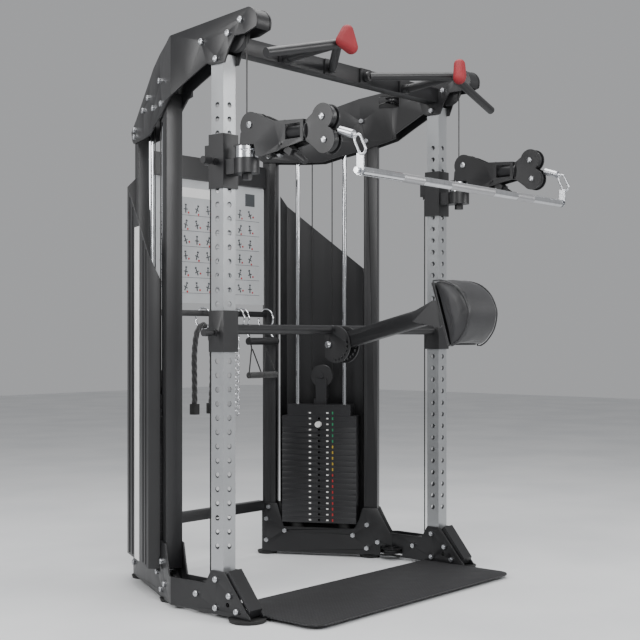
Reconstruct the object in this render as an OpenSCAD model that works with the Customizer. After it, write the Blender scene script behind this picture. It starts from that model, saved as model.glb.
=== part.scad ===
/* [Frame] */
// Height of the silver front uprights
upright_h = 1976; // [1900:2:1990]
// Side of every square frame tube
tube = 60; // [60:1:60]
// Wall of the square tubes
wall = 3; // [2:0.5:4]
// Distance from the middle of the machine to each upright
upright_x = 650; // [650:1:650]
// Angle by which each tower turns inward behind the uprights
bend_angle = 28; // [28:1:28]
// Distance from an upright to the bend of its plates
bend_y = 225; // [225:1:225]
// Pitch of the adjustment holes
hole_pitch = 50; // [50:50:50]
// Diameter of the adjustment holes
hole_d = 20; // [14:1:22]

/* [Weights] */
// Number of full-width plates in a stack
plate_count = 19; // [19:1:19]
// Height taken by one plate
plate_pitch = 25.3; // [25.3:0.1:25.3]
// Width of a plate along the tower
plate_w = 340; // [300:5:344]
// Thickness of the stack across the tower
plate_d = 90; // [70:2:90]
// Diameter of the guide rods
rod_d = 20; // [18:1:20]

/* [Cable] */
// Diameter of the coated steel cable
cable_d = 5; // [5:0.5:5]

/* [Arms] */
// Distance from an upright to the swivel axis of its arm
swivel_y = 115; // [115:1:115]
// Length of the straight chrome bar
bar_length = 1270; // [1200:5:1270]
// Diameter of the straight chrome bar
bar_d = 30; // [25:1:32]

/* [Leg holder] */
// Height of the pivot of the padded arm
pad_arm_z = 955; // [955:1:955]
// Width of the pad
pad_w = 200; // [160:10:200]

/* [Hidden] */
$fn = 48;
fit = 0.05;
half = tube / 2;
plate_t = 6;
plate_in = half + 1;
plate_out = plate_in + plate_t;
bolt_d = 12;
bolt_hole = 12.5;
miter = tan(bend_angle / 2);
stack_s = 340;
stack_z = 150;
rod_s = [stack_s - 108, stack_s + 108];
post_front_s = 108;
post_rear_s = 575;
top_hole_z = 1800;
lifted = 2;
stack_top = stack_z + plate_count * plate_pitch;
rest_count = plate_count - lifted;
rest_top = stack_z + rest_count * plate_pitch;
arm_pulley = [-155, 1712];
upper_head = [-475, 1705];
lower_head = [-484, 1628];
roll_z = 1666.5;
index_d = 7;
bar_y = -610;
bar_z = 1519;
// Points are [y, z] on the straight part of a tower and [s, z] behind its bend
base_bolts_a = [[0, 136], [-67, 86], [0, 36], [-103, 36]];
base_bolts_b = [[122, 148], [124, 44], [186, 99], [575, 215], [585, 161], [500, 110], [585, 65]];
top_bolts_a = [[-121, 2077], [0, 1960], [73, 2031]];
top_bolts_b = [[126, 1856], [420, 1880], [575, 1828], [575, 1800]];
// Pulleys as [position, z, running radius, outer radius]
top_front = [-60, 2040, 55, 60];
base_front = [99, 73, 34, 40];
base_stack = [74, 73, 34, 40];
tower_pulleys = [[335, 1915, 46, 51], [249, 1860, 40, 46], [148, 1945, 40, 46]];
floater = [335, 808, 46, 50];
rope_points = [
    [-14, 716, 700], [-10, 716, 760], [-7, 716, 820], [-6, 717, 880], [-8, 718, 940], [-16, 720, 990],
    [-32, 721, 1022], [-56, 722, 1036], [-80, 721, 1024], [-98, 720, 992], [-108, 718, 945],
    [-113, 717, 890], [-113, 716, 830], [-112, 716, 765], [-112, 716, 700]
];

// ---- helpers ----

module sided(left) {
    mirror([left ? 1 : 0, 0, 0]) children();
}

module both() {
    children();
    mirror([1, 0, 0]) children();
}

// Straight part of the right tower: x is outward from the upright's middle
module straight_part() {
    translate([upright_x, 0, 0]) children();
}

// Part of the right tower behind the bend: x outward, y backward along the tower
module rear_part() {
    translate([upright_x, bend_y, 0]) rotate([0, 0, bend_angle]) children();
}

// Flat plate in the y-z plane from x = start, with thickness t
module side_plate(points, start, t) {
    translate([start, 0, 0]) rotate([90, 0, 90]) linear_extrude(t) polygon(points);
}

// Cylinder along x from x = a to x = b at [y, z]
module bar_x(at, a, b, d) {
    translate([a, at[0], at[1]]) rotate([0, 90, 0]) cylinder(d = d, h = b - a);
}

// Cylinder along y from y = a to y = b at [x, z]
module bar_y_axis(at, a, b, d) {
    translate([at[0], b, at[1]]) rotate([90, 0, 0]) cylinder(d = d, h = b - a);
}

// Round rod from p to q
module rod(p, q, d) {
    v = q - p;
    l = norm(v);
    translate(p) rotate([0, acos(v[2] / l), atan2(v[1], v[0])]) cylinder(d = d, h = l);
}

// Upright square tube from z = low to z = high
module square_tube(low, high) {
    difference() {
        translate([-half, -half, low]) cube([tube, tube, high - low]);
        translate([wall - half, wall - half, low - 1]) cube([tube - 2 * wall, tube - 2 * wall, high - low + 2]);
    }
}

// Through bolt along x with a domed head outside and a nut inside
module through_bolt(at, reach = plate_out) {
    bar_x(at, -reach - 14, reach + 1, bolt_d);
    bar_x(at, reach + 0.1, reach + 7, 22);
    translate([-reach - 10.1, at[0], at[1]]) rotate([0, 90, 0]) cylinder(d = 21, h = 10, $fn = 6);
}

// Grooved wheel on an axis along x
module wheel(r_run, r_out, w, bore) {
    floor_r = r_run - cable_d / 2 - 1;
    rotate([0, 90, 0]) rotate_extrude($fn = 64) polygon([
        [bore / 2, -w / 2], [r_out, -w / 2], [floor_r, -cable_d / 2 - 0.3],
        [floor_r, cable_d / 2 + 0.3], [r_out, w / 2], [bore / 2, w / 2]
    ]);
}

// Points on an arc about [y, z] in the plane x = 0
function arc(at, r, from, to, n) =
    [for (i = [0:n]) let (a = from + (to - from) * i / n) [at[0] + r * cos(a), at[1] + r * sin(a)]];
function on_straight(p) = [upright_x, p[0], p[1]];
function on_rear(p) = [upright_x - p[0] * sin(bend_angle), bend_y + p[0] * cos(bend_angle), p[1]];
function unit(v) = v / norm(v);
function direction(p, i) =
    unit(i == 0 ? p[1] - p[0] : i == len(p) - 1 ? p[i] - p[i - 1] : unit(p[i + 1] - p[i]) + unit(p[i] - p[i - 1]));
function across(t) = abs(t[0]) < 0.9 ? [1, 0, 0] : [0, 1, 0];
function carried(u, t) = unit(u - (u * t) * t);
function frames(p, i = 0, u = [0, 1, 0]) =
    i == len(p) ? [] :
    let (t = direction(p, i), n = carried(i == 0 ? across(t) : u, t)) concat([[t, n]], frames(p, i + 1, n));

// Tube swept along a list of points
module swept(p, d, sides = 8) {
    f = frames(p);
    last = len(p) - 1;
    rings = [for (i = [0:last]) let (n = f[i][1], b = cross(f[i][0], n)) [
        for (k = [0:sides - 1]) p[i] + d / 2 * (n * cos(360 * k / sides) + b * sin(360 * k / sides))
    ]];
    walls = [for (i = [0:last - 1], k = [0:sides - 1]) let (m = (k + 1) % sides) [
        i * sides + k, (i + 1) * sides + k, (i + 1) * sides + m, i * sides + m
    ]];
    caps = [[for (k = [0:sides - 1]) k], [for (k = [sides - 1:-1:0]) last * sides + k]];
    polyhedron(points = [for (r = rings, q = r) q], faces = concat(walls, caps), convexity = 6);
}

// ---- frame ----

module upright() {
    straight_part() difference() {
        square_tube(12.5, upright_h);
        for (z = [250:hole_pitch:top_hole_z]) {
            bar_x([0, z], -half - 1, half + 1, hole_d);
            bar_y_axis([0, z], -half - 1, half + 1, hole_d);
        }
        for (z = [36, 136, 1960]) bar_x([0, z], -half - 1, half + 1, bolt_hole);
    }
}

module uprights() {
    color("silver") both() upright();
}

module front_posts() {
    color("#1c1c1e") both() rear_part() difference() {
        translate([0, post_front_s, 0]) square_tube(126, 1888);
        bar_x([122, 148], -half - 1, half + 1, bolt_hole);
        bar_x([126, 1856], -half - 1, half + 1, bolt_hole);
    }
}

module rear_posts() {
    color("#1c1c1e") both() rear_part() difference() {
        translate([0, post_rear_s, 0]) square_tube(12.5, 1842);
        for (z = [215, 1828, 1800]) bar_x([post_rear_s, z], -half - 1, half + 1, bolt_hole);
        for (z = [161, 65]) bar_x([post_rear_s + 10, z], -half - 1, half + 1, bolt_hole);
    }
}

base_outline_a = [
    [bend_y, 0], [bend_y, 115], [55, 115], [25, 165], [-42, 165], [-165, 20], [-165, 0]
];
base_outline_b = [
    [0, 0], [0, 115], [20, 115], [41, 153], [75, 222], [142, 222], [160, 165], [180, 128],
    [505, 128], [537, 232], [607, 232], [607, 0]
];

// A point of the tower behind the bend, in plan, seen from the upright's middle
function rear_xy(off, s) = [
    off * cos(bend_angle) - s * sin(bend_angle), bend_y + off * sin(bend_angle) + s * cos(bend_angle)
];

// Upright strip bent in plan, between a and b outward, from y = front to s = back, and from z = low up by h
module bent_strip(a, b, front, back, low, h) {
    straight_part() translate([0, 0, low]) linear_extrude(h) polygon([
        [a, front], [b, front], [b, bend_y + b * miter], rear_xy(b, back), rear_xy(a, back), [a, bend_y + a * miter]
    ]);
}

// Slot through the inner plate for a pulley at the bend
module bend_slot(front, back, low, h) {
    bent_strip(-plate_out - 1, -plate_in + 1, front, back, low, h);
}

// Moves an outline's points on the bend a little past it
function past_bend(points, edge, end) = [for (p = points) p[0] == edge ? [end, p[1]] : p];

module bent_plate(outline_a, outline_b, inner, low) {
    intersection() {
        bent_strip(inner ? -plate_out : plate_in, inner ? -plate_in : plate_out, -250, 700, low, 400);
        union() {
            straight_part() side_plate(past_bend(outline_a, bend_y, bend_y + 10), -tube, 2 * tube);
            rear_part() side_plate(past_bend(outline_b, 0, -10), -tube, 2 * tube);
        }
    }
}

module plate_holes(bolts_a, bolts_b) {
    straight_part() for (p = bolts_a) bar_x(p, -plate_out - 1, plate_out + 1, bolt_hole);
    rear_part() for (p = bolts_b) bar_x(p, -plate_out - 1, plate_out + 1, bolt_hole);
}

module base_plates() {
    color("#1c1c1e") both() difference() {
        union() {
            bent_plate(base_outline_a, base_outline_b, false, 12.5);
            bent_plate(base_outline_a, base_outline_b, true, 12.5);
        }
        plate_holes(concat(base_bolts_a, [[99, 73]]), concat(base_bolts_b, [[74, 73]]));
        straight_part() bar_x([-57, 53], -plate_out - 1, plate_out + 1, 16);
        bend_slot(160, 62, 21.5, 35);
    }
}

function rounded_nose(at, r) = arc(at, r, 102, 205, 8);

top_outline_a = concat(
    [[bend_y, 2080]], rounded_nose([-146, 2065], 52),
    [[-140, 2027], [-90, 2027], [-60, 1985], [-42, 1942], [28, 1942], [48, 1952], [146, 1906], [bend_y, 1862]]
);
top_outline_b = [
    [0, 2080], [10, 2080], [60, 2066], [160, 2045], [255, 2015], [551, 1868], [645, 1828], [625, 1790], [600, 1775],
    [416, 1768], [325, 1769], [252, 1790], [117, 1822], [0, 1862]
];

module top_gussets() {
    color("#1c1c1e") both() difference() {
        union() {
            bent_plate(top_outline_a, top_outline_b, false, 1740);
            bent_plate(top_outline_a, top_outline_b, true, 1740);
        }
        plate_holes(
            concat(top_bolts_a, [[top_front[0], top_front[1]]]),
            concat(top_bolts_b, [for (p = tower_pulleys) [p[0], p[1]]])
        );
        bend_slot(178, 68, 1998, 53);
    }
}

// Strip between the plates at the front slope of the base, and the curved strip of the top nose
module end_covers() {
    color("#2a2a2c") both() straight_part() {
        side_plate([[-46, 158], [-60, 171], [-161, 46], [-150, 20], [-140, 20], [-148, 44]], -half, tube);
        side_plate(concat(arc([-146, 2065], 50, 100, 212, 10), arc([-146, 2065], 46, 212, 100, 10)), -half, tube);
    }
}

module crossbar() {
    color("#1c1c1e") difference() {
        translate([-612, -half, 1992]) cube([1224, tube, tube]);
        translate([-613, wall - half, 1992 + wall]) cube([1226, tube - 2 * wall, tube - 2 * wall]);
    }
}

// Bent handle: a diagonal tube and a strut from the crossbar meet at the hold and run out to the grip
module pull_up_bar() {
    grip = [694, -248, 1943];
    hold = [360, -284, 2028];
    rod([116, -54, 2019], hold, 33);
    rod([367, -50, 2010], hold, 33);
    rod(hold, grip, 33);
    translate(hold) sphere(d = 37);
    for (at = [[108, 2019], [367, 2010]]) {
        bar_y_axis(at, -62, -37, 39);
        translate([at[0] - 32, -38, 1993]) cube([64, 7, 58]);
    }
}

module pull_up_bars() {
    color("#1c1c1e") both() pull_up_bar();
}

module climbing_holds() {
    color("#c8404a") both() difference() {
        hull() {
            translate([340, -328, 2012]) sphere(d = 50, $fn = 24);
            translate([352, -320, 2068]) sphere(d = 46, $fn = 24);
            translate([378, -312, 2030]) sphere(d = 40, $fn = 24);
        }
        translate([300, -303.5, 1900]) cube([200, 60, 300]);
    }
}

module rear_beams() {
    color("#1c1c1e") {
        translate([-334, 722, 1656]) cube([668, 40, 94]);
        translate([-326, 722, 200]) cube([652, 36, 43]);
    }
}

module chart_board() {
    color("#d8d8d6") translate([-330, 730, 1128]) cube([660, 5, 524]);
}

module accessory_rail() {
    color("#1c1c1e") translate([-334, 715, 1073]) cube([668, 25, 25]);
}

module foot_plate() {
    color("#262628") translate([0, 0, 13]) linear_extrude(6) difference() {
        translate([-611, -405]) square([1222, 445]);
        for (m = [0, 1]) mirror([m, 0]) difference() {
            translate([551, -406]) square([61, 61]);
            translate([551, -345]) circle(r = 60, $fn = 64);
        }
    }
}

module foot(d) {
    cylinder(d1 = d - 8, d2 = d, h = 12);
}

module feet() {
    color("#141414") both() {
        translate([652, -121, 0]) foot(135);
        rear_part() translate([0, 115, 0]) foot(93);
        rear_part() translate([0, 590, 0]) foot(93);
    }
}

module guide_rods() {
    color("#d4d6d8") both() rear_part() for (s = rod_s) translate([0, s, 104]) cylinder(d = rod_d, h = 1700);
}

module stack_bumpers() {
    color("#18181a") both() rear_part() for (s = rod_s) translate([0, s, 100]) difference() {
        union() {
            translate([-half, -28, 0]) cube([tube, 56, 26]);
            translate([0, 0, 26]) cylinder(d = 60, h = 23.6);
        }
        translate([0, 0, -1]) cylinder(d = rod_d + 2 * fit, h = 60);
    }
}

module shroud() {
    rear_part() {
        side_plate([[160, 116], [520, 116], [520, 1588], [160, 1296]], 78, 2);
        difference() {
            linear_extrude(1330) polygon([[38, 142.5], [40, 142.5], [80, 158], [80, 161], [78, 161]]);
            translate([0, 130, -1]) cube([100, 60, 117]);
            translate([80, 160, 1296]) rotate([0, -66, 0]) translate([-200, -60, 0]) cube([400, 120, 300]);
        }
        difference() {
            linear_extrude(1690) polygon([[78, 519], [80, 519], [80, 522], [40, 540.5], [38, 540.5]]);
            translate([0, 500, -1]) cube([100, 60, 117]);
            translate([80, 520, 1588]) rotate([0, 45, 0]) translate([-200, -60, 0]) cube([400, 120, 300]);
        }
    }
}

module shrouds() {
    color("#1a1a1c") both() shroud();
}

module frame_bolts() {
    color("#b8bcc0") both() {
        straight_part() {
            for (p = concat(base_bolts_a, top_bolts_a)) through_bolt(p);
            through_bolt([99, 73]);
            through_bolt([top_front[0], top_front[1]]);
        }
        rear_part() {
            for (p = concat(base_bolts_b, top_bolts_b)) through_bolt(p);
            through_bolt([74, 73]);
            for (p = tower_pulleys) through_bolt([p[0], p[1]]);
        }
    }
}

// ---- weights ----

module stack_plate(index) {
    z = stack_z + index * plate_pitch;
    difference() {
        translate([-plate_d / 2, stack_s - plate_w / 2, z]) cube([plate_d, plate_w, plate_pitch - 0.5]);
        for (s = rod_s) translate([0, s, z - 1]) cylinder(d = rod_d + 2, h = plate_pitch + 2);
        translate([0, stack_s, z - 1]) cylinder(d = 27, h = plate_pitch + 2);
        bar_x([stack_s, z + plate_pitch / 2], -plate_d, 0, 11);
    }
}

module weight_plates() {
    color("#2b2b2d") both() rear_part() for (i = [0:rest_count - 1]) stack_plate(i);
}

module lift_stack(left) {
    color("#2b2b2d") sided(left) rear_part() {
        for (i = [rest_count:plate_count - 1]) stack_plate(i);
        difference() {
            union() {
                translate([-plate_d / 2, stack_s - 144, stack_top]) cube([plate_d, 288, 50]);
                translate([-18, stack_s - 30, stack_top + 50]) cube([36, 60, 24]);
                for (side = [-1, 1]) translate([side * 18 - 3, 0, 0]) {
                    translate([0, stack_s - 30, stack_top + 50]) cube([6, 50, 116]);
                }
                translate([0, stack_s, stack_z + 5]) cylinder(d = 25, h = stack_top + 10 - stack_z);
            }
            for (s = rod_s) translate([0, s, stack_top - 1]) cylinder(d = rod_d + 0.4, h = 60);
            bar_x([floater[0], floater[1]], -30, 30, bolt_hole);
            for (i = [0:plate_count - 1]) {
                bar_x([stack_s, stack_z + (i + 0.5) * plate_pitch], -14, 14, 11);
            }
        }
        bar_x([floater[0], floater[1]], -26, 26, bolt_d);
        bar_x([floater[0], floater[1]], 21.1, 28, 20);
        bar_x([floater[0], floater[1]], -28, -21.1, 20);
    }
}

module selector_pin(left) {
    pin_z = stack_z + (rest_count + 0.5) * plate_pitch;
    color("#f0f0ee") sided(left) rear_part() {
        bar_x([stack_s, pin_z], -plate_d / 2 - 3, 10, 9.6);
        bar_x([stack_s, pin_z], -plate_d / 2 - 26, -plate_d / 2 - 1, 26);
    }
}

module floating_pulley(left) {
    color("#202022") sided(left) rear_part() translate([0, floater[0], floater[1]])
        wheel(floater[2], floater[3], 22, bolt_d + 2 * fit);
}

module top_pulley(left) {
    color("#202022") sided(left) straight_part() translate([0, top_front[0], top_front[1]])
        wheel(top_front[2], top_front[3], 24, bolt_d + 2 * fit);
}

// Pulley that lies flat at the inner side of the bend, on its own upright pin
module bend_pulley(z, r_run, r_out, w) {
    straight_part() translate([-r_run, bend_y - r_run * miter, z]) {
        rotate([0, 90, 0]) wheel(r_run, r_out, w, bolt_d + 2 * fit);
        translate([0, 0, -w / 2 - 8]) cylinder(d = bolt_d, h = w + 16);
        for (low = [-w / 2 - 5.5, w / 2 + 0.5]) translate([0, 0, low]) difference() {
            union() {
                cylinder(d = 30, h = 5);
                translate([0, -15, 0]) cube([r_run + half, 30, 5]);
            }
            translate([0, 0, -1]) cylinder(d = bolt_hole, h = 8);
        }
    }
}

module guide_pulleys() {
    color("#202022") both() {
        straight_part() translate([0, base_front[0], base_front[1]])
            wheel(base_front[2], base_front[3], 22, bolt_d + 2 * fit);
        rear_part() {
            translate([0, base_stack[0], base_stack[1]])
                wheel(base_stack[2], base_stack[3], 22, bolt_d + 2 * fit);
            for (p = tower_pulleys) translate([0, p[0], p[1]]) wheel(p[2], p[3], 22, bolt_d + 2 * fit);
        }
        bend_pulley(39, 40, 46, 18);
        bend_pulley(2033.5, 28, 34, 18);
    }
}

// ---- cables ----

// Route over the top: trolley side, front pulley, bend, tower pulleys, down inside the front post,
// forward along the base and up behind the upright
over_top = concat(
    [[upright_x, -swivel_y, 1714], [upright_x, -swivel_y, 1900]],
    [for (p = arc([top_front[0], top_front[1]], top_front[2], 180, 78, 10)) on_straight(p)],
    [[upright_x, 140, 2052], [upright_x, 180, 2036], [upright_x, bend_y - 8, 2034]],
    [on_rear([8, 2033]), on_rear([40, 2031]), on_rear([120, 2008])],
    [for (p = arc([335, 1915], 46, 77, 0, 7)) on_rear(p)],
    [on_rear([381, 1500]), on_rear([381, 1100])],
    [for (p = arc([335, 808], 46, 0, -180, 12)) on_rear(p)],
    [on_rear([289, 1100]), on_rear([289, 1500])],
    [for (p = arc([249, 1860], 40, 0, 50, 4)) on_rear(p)],
    [for (p = arc([148, 1945], 40, 50, 180, 9)) on_rear(p)],
    [on_rear([108, 1500]), on_rear([108, 1000]), on_rear([108, 500])],
    [for (p = arc([74, 73], 34, 0, -90, 6)) on_rear(p)],
    [on_rear([12, 39]), [upright_x - 1, bend_y, 39], [upright_x, bend_y - 12, 39]],
    [for (p = arc([99, 73], 34, -90, -180, 6)) on_straight(p)],
    [[upright_x, 65, 600], [upright_x, 65, 1100], [upright_x, 65, 1576]]
);

module frame_cables() {
    color("#101010") both() swept(over_top, cable_d);
}

arm_route = concat(
    [for (p = arc(arm_pulley, 40, 0, -90, 8)) on_straight(p)],
    [[upright_x, -250, 1670], [upright_x, -350, 1667.5], [upright_x, -440, roll_z], [upright_x, -500, roll_z - 1]],
    [[upright_x, -520, 1662], [upright_x, -535, 1656]]
);

module arm_cable(left) {
    color("#101010") sided(left) swept(arm_route, cable_d);
}

// ---- trolley and arm ----

module trolley(left) {
    color("#1c1c1e") sided(left) straight_part() {
        difference() {
            union() {
                translate([-37, -37, 1506]) cube([74, 74, 191]);
                translate([-28, -80, 1552]) cube([56, 50, 52]);
                translate([0, -swivel_y, 1552]) cylinder(d = 88, h = 52);
                translate([0, -swivel_y, 1603.9]) cylinder(d = 80, h = 40);
                translate([-16, 36, 1595]) cube([32, 42, 70]);
                translate([0, 65, 1584]) cylinder(d = 16, h = 12);
                bar_x([0, 1600], 36, 52, 24);
            }
            translate([-31, -31, 1500]) cube([62, 62, 210]);
            translate([0, -swivel_y, 1500]) cylinder(d = 24 + 2 * fit, h = 160);
            for (a = [-90:15:90]) translate([0, -swivel_y, 1631]) rotate([90, 0, a])
                translate([0, 0, 29.5]) cylinder(d = index_d + 8 * fit, h = 12, $fn = 24);
            bar_x([0, 1600], 28, 60, 12 + 2 * fit);
        }
    }
}

module trolley_pin(left) {
    color("#1a1a1c") sided(left) straight_part() {
        bar_x([0, 1600], 31.5, 67, 12);
        bar_x([0, 1600], 65, 101, 26);
    }
}

arm_outline = concat(
    [[-107, 1652], [-111, 1690]],
    arc([-155, 1712], 45, -28, 128, 9),
    [[-200, 1743], [-266, 1713], [-400, 1705], [-400, 1633], [-302, 1616], [-276, 1609], [-212, 1599],
    [-184, 1603], [-174, 1646], [-107, 1646]]
);

module arm(left) {
    color("#1c1c1e") sided(left) straight_part() difference() {
        union() {
            for (x = [-28, 22]) side_plate(arm_outline, x, 6);
            translate([-28, -186, 1646]) cube([56, 110, 6]);
            translate([-28, -319, 1625]) cube([56, 6, 86]);
            translate([-28, -400, 1633]) cube([56, 8, 72]);
            translate([-22.5, -214, 1619]) cube([45, 32, 24]);
            translate([-22.5, -306, 1705]) cube([45, 70, 5]);
            translate([0, -swivel_y, 1529]) cylinder(d = 24, h = 120);
            translate([0, -swivel_y, 1529]) cylinder(d = 36, h = 21, $fn = 6);
            translate([0, -327, 1609]) rotate([124.6, 0, 0]) translate([-22.5, -12, -16]) cube([45, 24, 32]);
            bar_x([-297, 1633], -32, 32, 12);
        }
        translate([0, -310, roll_z]) rotate([90, 0, 0]) cylinder(d = 48 + 2 * fit, h = 100);
        translate([0, -300, roll_z]) rotate([90, 0, 0]) cylinder(d = 34, h = 30);
        bar_y_axis([0, 1631], -230, -160, 10 + 2 * fit);
        bar_x([arm_pulley[0], arm_pulley[1]], -40, 40, bolt_hole);
        for (x = [-40, 20]) translate([x, -386, 1645]) cube([20, 66, 50]);
        translate([0, -327, 1609]) rotate([124.6, 0, 0]) translate([0, 0, -17]) cylinder(d = 10 + 2 * fit, h = 40);
    }
    color("#b8bcc0") sided(left) straight_part() {
        bar_x([arm_pulley[0], arm_pulley[1]], -34, 34, bolt_d);
        for (x = [-34, 28.1]) bar_x([arm_pulley[0], arm_pulley[1]], x, x + 5.9, 22);
    }
}

module arm_pulley_wheel(left) {
    color("#202022") sided(left) straight_part() translate([0, arm_pulley[0], arm_pulley[1]])
        wheel(40, 44, 20, bolt_d + 2 * fit);
}

module arm_pin(left) {
    color("#c8cacc") sided(left) straight_part() {
        bar_y_axis([0, 1631], -242, -171, 10);
        bar_y_axis([0, 1631], -171.1, -157, index_d);
        side_plate([[-240, 1638], [-230, 1638], [-230, 1626], [-274, 1592], [-282, 1600], [-240, 1632]], -9, 18);
    }
}

// Neck, two cheeks and two fixed axles, seen along the roll axis of the arm
module swivel_head(left) {
    color("#1c1c1e") sided(left) straight_part() {
        difference() {
            union() {
                translate([0, -312, roll_z]) rotate([90, 0, 0]) cylinder(d = 48, h = 96);
                translate([0, -401, roll_z]) rotate([90, 0, 0]) cylinder(d = 66, h = 8);
                for (x = [-21, 15]) {
                    side_plate([[-404, 1634], [-404, 1700], [-460, 1738], [-490, 1700], [-500, 1600], [-450, 1600]], x, 6);
                    for (p = [upper_head, lower_head]) bar_x(p, x, x + 6, 88);
                }
            }
            translate([0, -300, roll_z]) rotate([90, 0, 0]) cylinder(d = 34, h = 112);
            for (p = [upper_head, lower_head]) bar_x(p, -30, 30, bolt_hole);
        }
    }
    color("#b8bcc0") sided(left) straight_part() for (p = [upper_head, lower_head]) {
        bar_x(p, -26, 26, bolt_d);
        for (x = [-26, 21.1]) bar_x(p, x, x + 4.9, 20);
    }
}

module head_pulley(at, left) {
    color("#202022") sided(left) straight_part() translate([0, at[0], at[1]]) difference() {
        wheel(35.5, 38, 20, bolt_d + 2 * fit);
        for (a = [0:60:300]) rotate([a, 0, 0]) translate([-15, 0, 20]) rotate([0, 90, 0]) cylinder(d = 12, h = 30);
    }
}

module head_pin(left) {
    color("#1a1a1c") sided(left) straight_part() translate([0, -327, 1609]) rotate([124.6, 0, 0]) {
        translate([0, 0, -14]) cylinder(d = 10, h = 34);
        translate([0, 0, 17]) cylinder(d = 22, h = 56);
    }
}

// ---- straight bar ----

module straight_bar() {
    color("#dcdee0") {
        bar_x([bar_y, bar_z], -bar_length / 2, bar_length / 2, bar_d);
        bar_x([bar_y, bar_z], -bar_length / 2 - 22, bar_length / 2 + 22, 12);
        for (x = [-bar_length / 2 - 26, bar_length / 2 + 20]) bar_x([bar_y, bar_z], x, x + 6, 20);
    }
}

module bar_clip() {
    straight_part() {
        rod([0, -536, 1655], [0, -590, 1637], 28);
        rod([0, -588, 1637.6], [0, -602, 1633], 12);
        translate([0, -618, 1602]) rotate([-26, 0, 0]) {
            for (m = [0, 1]) mirror([0, m, 0]) translate([0, 14, -20]) cylinder(d = 9, h = 40);
            for (m = [0, 1]) mirror([0, 0, m]) translate([0, 0, 20]) rotate([90, 0, 90])
                rotate_extrude(angle = 180) translate([14, 0]) circle(d = 9);
        }
    }
    difference() {
        union() {
            bar_x([bar_y, bar_z], bar_length / 2 + 8, bar_length / 2 + 14, 30);
            translate([bar_length / 2 + 8, -629, bar_z]) cube([6, 26, 55]);
        }
        bar_x([bar_y, bar_z], 600, 700, 12 + 2 * fit);
    }
}

module bar_clips() {
    color("#c0c4c8") both() bar_clip();
}

// ---- leg holder ----

module leg_carriage() {
    color("#1c1c1e") difference() {
        union() {
            both() straight_part() translate([-37, -37, 932]) cube([74, 74, 146]);
            bar_x([0, 1012], -614, 614, 36);
            for (x = [-66, -12]) side_plate(concat(
                arc([-27, pad_arm_z], 72, 48, 312, 24),
                [[27, pad_arm_z - 50], [27, pad_arm_z + 48]]
            ), x, 6);
            bar_x([0, 1000], -699, -686, 24);
        }
        both() straight_part() translate([-31, -31, 900]) cube([62, 62, 200]);
        bar_x([5, pad_arm_z], -80, 0, 16.5);
        bar_x([0, 1000], -710, -670, 12 + 2 * fit);
        for (a = [170:17:272]) bar_x([-27 + 58 * cos(a), pad_arm_z + 58 * sin(a)], -80, 0, 10);
    }
    color("#b8bcc0") {
        bar_x([5, pad_arm_z], -72, -6, 16);
        bar_x([5, pad_arm_z], -78, -66.1, 26);
        bar_x([5, pad_arm_z], -5.9, 4, 26);
    }
}

module leg_pin() {
    color("#1a1a1c") {
        bar_x([0, 1000], -714, -681.5, 12);
        bar_x([0, 1000], -748, -712, 26);
    }
}

arm_tilt = atan2(103, 434);

module leg_arm() {
    color("#1c1c1e") difference() {
        union() {
            translate([-39, 5, pad_arm_z]) rotate([-arm_tilt, 0, 0]) {
                difference() {
                    translate([-20, -446, -30]) cube([40, 466, 60]);
                    translate([-17, -447, -27]) cube([34, 440, 54]);
                }
            }
            bar_x([-429, 1058], -75, 15, 50);
        }
        bar_x([5, pad_arm_z], -90, 10, 16 + 2 * fit);
        bar_x([-429, 1058], -90, 30, 34 + 2 * fit);
    }
}

pad_profile = [
    [-503, 1192], [-540, 1194], [-590, 1180], [-635, 1145], [-662, 1095], [-665, 1055], [-650, 1005],
    [-618, 965], [-590, 948], [-576, 947]
];

module leg_pad() {
    color("#18181a") side_plate(pad_profile, -pad_w / 2, pad_w);
    color("#1c1c1e") {
        bar_x([-429, 1058], -88, 28, 34);
        for (x = [-88, 20]) {
            side_plate([[-412, 1040], [-412, 1076], [-505, 1118], [-522, 1112], [-546, 1030], [-534, 1018]], x, 8);
        }
        side_plate([[-497.5, 1180], [-501, 1182], [-571, 957], [-567.5, 955]], -90, 180);
    }
}

// ---- accessories on the rear rail ----

module accessory_bar() {
    color("#2c2c2e") {
        bar_x([668, 965], 165, 350, 32);
    }
}

module strap_handles() {
    color("#151515") for (x = [212, 303]) {
        bar_x([668, 815], x - 44, x + 44, 28);
        for (m = [-1, 1]) rod([x + m * 42, 668, 815], [x + m * 3, 690, 930], 6);
        rod([x, 690, 925], [x, 712, 1014], 6);
    }
}

module hook(x) {
    translate([x, 722, 1064]) rotate([0, 90, 0]) rotate_extrude() translate([45, 0]) circle(d = 8, $fn = 16);
}

module rail_hooks() {
    color("#c8ccd0") {
        for (x = [-56, 150, 180, 335]) hook(x);
        for (x = [180, 335]) rod([x, 712, 1018], [x, 677, 983], 7);
        for (i = [0:19]) translate([150, 722, 1004 - i * 18.6]) rotate([0, 90, i % 2 * 90])
            rotate_extrude($fn = 24) translate([12, 0]) circle(d = 5, $fn = 16);
    }
}

module triceps_rope() {
    color("#161616") swept(rope_points, 25, 12);
}

module rope_stoppers() {
    color("#101010") for (x = [-14, -112]) translate([x, 716, 655]) cylinder(d = 42, h = 44);
}

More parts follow.
